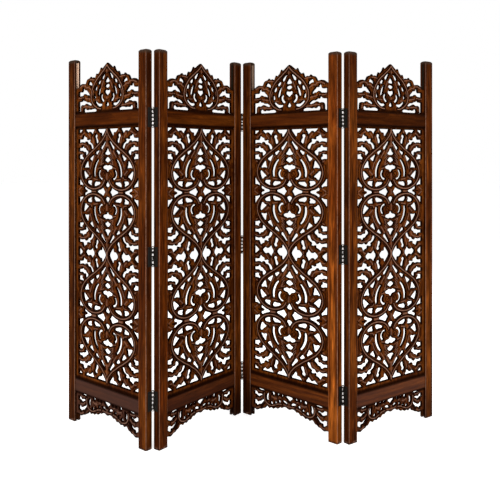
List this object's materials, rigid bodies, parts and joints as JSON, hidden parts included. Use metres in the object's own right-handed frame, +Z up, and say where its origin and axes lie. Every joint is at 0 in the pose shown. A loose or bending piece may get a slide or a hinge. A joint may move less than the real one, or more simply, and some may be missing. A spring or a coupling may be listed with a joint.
{
  "type": "carved folding screen",
  "caption": "Free-standing folding room divider of pierced carved-wood panels with scrolled crests and aprons, hinged edge to edge to stand in a zigzag.",
  "frame": {"origin": "on the floor, under the middle of the zigzag row's bounding box", "axes": "+Z up, +Y away from the viewer in front of the row, +X to that viewer's right along the row"},
  "size_m": [1.5552, 0.432, 1.524],
  "materials": {
    "stile_wood": "dark stained and waxed, rubbed paler on the edges",
    "rail_wood": "dark red-brown stain, satin",
    "carved_wood": "dark stain, darker in the cuts, paler on the beads",
    "hinge_iron": "black, slightly glossy",
    "screw_iron": "black, worn"
  },
  "bodies": {
    "panel_1": {"panel_1_left_stile": "stile_wood", "panel_1_right_stile": "stile_wood", "panel_1_top_rail": "rail_wood", "panel_1_bottom_rail": "rail_wood", "panel_1_jali": "carved_wood", "panel_1_crest": "carved_wood", "panel_1_apron": "carved_wood", "panel_1_right_top_hinge_leaf": "hinge_iron", "panel_1_right_middle_hinge_leaf": "hinge_iron", "panel_1_right_bottom_hinge_leaf": "hinge_iron", "panel_1_right_hinge_screws": "screw_iron", "fold_1_2_hinge_pins": "hinge_iron"},
    "panel_2": {"panel_2_left_stile": "stile_wood", "panel_2_right_stile": "stile_wood", "panel_2_top_rail": "rail_wood", "panel_2_bottom_rail": "rail_wood", "panel_2_jali": "carved_wood", "panel_2_crest": "carved_wood", "panel_2_apron": "carved_wood", "panel_2_left_top_hinge_leaf": "hinge_iron", "panel_2_left_middle_hinge_leaf": "hinge_iron", "panel_2_left_bottom_hinge_leaf": "hinge_iron", "panel_2_left_hinge_screws": "screw_iron", "panel_2_right_top_hinge_leaf": "hinge_iron", "panel_2_right_middle_hinge_leaf": "hinge_iron", "panel_2_right_bottom_hinge_leaf": "hinge_iron", "panel_2_right_hinge_screws": "screw_iron", "fold_2_3_hinge_pins": "hinge_iron"},
    "panel_3": {"panel_3_left_stile": "stile_wood", "panel_3_right_stile": "stile_wood", "panel_3_top_rail": "rail_wood", "panel_3_bottom_rail": "rail_wood", "panel_3_jali": "carved_wood", "panel_3_crest": "carved_wood", "panel_3_apron": "carved_wood", "panel_3_left_top_hinge_leaf": "hinge_iron", "panel_3_left_middle_hinge_leaf": "hinge_iron", "panel_3_left_bottom_hinge_leaf": "hinge_iron", "panel_3_left_hinge_screws": "screw_iron", "panel_3_right_top_hinge_leaf": "hinge_iron", "panel_3_right_middle_hinge_leaf": "hinge_iron", "panel_3_right_bottom_hinge_leaf": "hinge_iron", "panel_3_right_hinge_screws": "screw_iron", "fold_3_4_hinge_pins": "hinge_iron"},
    "panel_4": {"panel_4_left_stile": "stile_wood", "panel_4_right_stile": "stile_wood", "panel_4_top_rail": "rail_wood", "panel_4_bottom_rail": "rail_wood", "panel_4_jali": "carved_wood", "panel_4_crest": "carved_wood", "panel_4_apron": "carved_wood", "panel_4_left_top_hinge_leaf": "hinge_iron", "panel_4_left_middle_hinge_leaf": "hinge_iron", "panel_4_left_bottom_hinge_leaf": "hinge_iron", "panel_4_left_hinge_screws": "screw_iron"}
  },
  "joints": [
    {"name": "fold_1_2", "type": "hinge", "parent": "panel_2", "child": "panel_1", "pos_m": [-0.37654, -0.1939, 0.7625], "axis": [0, 0, 1], "range_deg": [-85.1, 94.9]},
    {"name": "fold_2_3", "type": "hinge", "parent": "panel_2", "child": "panel_3", "pos_m": [-0.04114, 0.19452, 0.7625], "axis": [0, 0, 1], "range_deg": [-83.6, 96.4]},
    {"name": "fold_3_4", "type": "hinge", "parent": "panel_3", "child": "panel_4", "pos_m": [0.35548, -0.13115, 0.7625], "axis": [0, 0, 1], "range_deg": [-81.1, 98.9]}
  ]
}
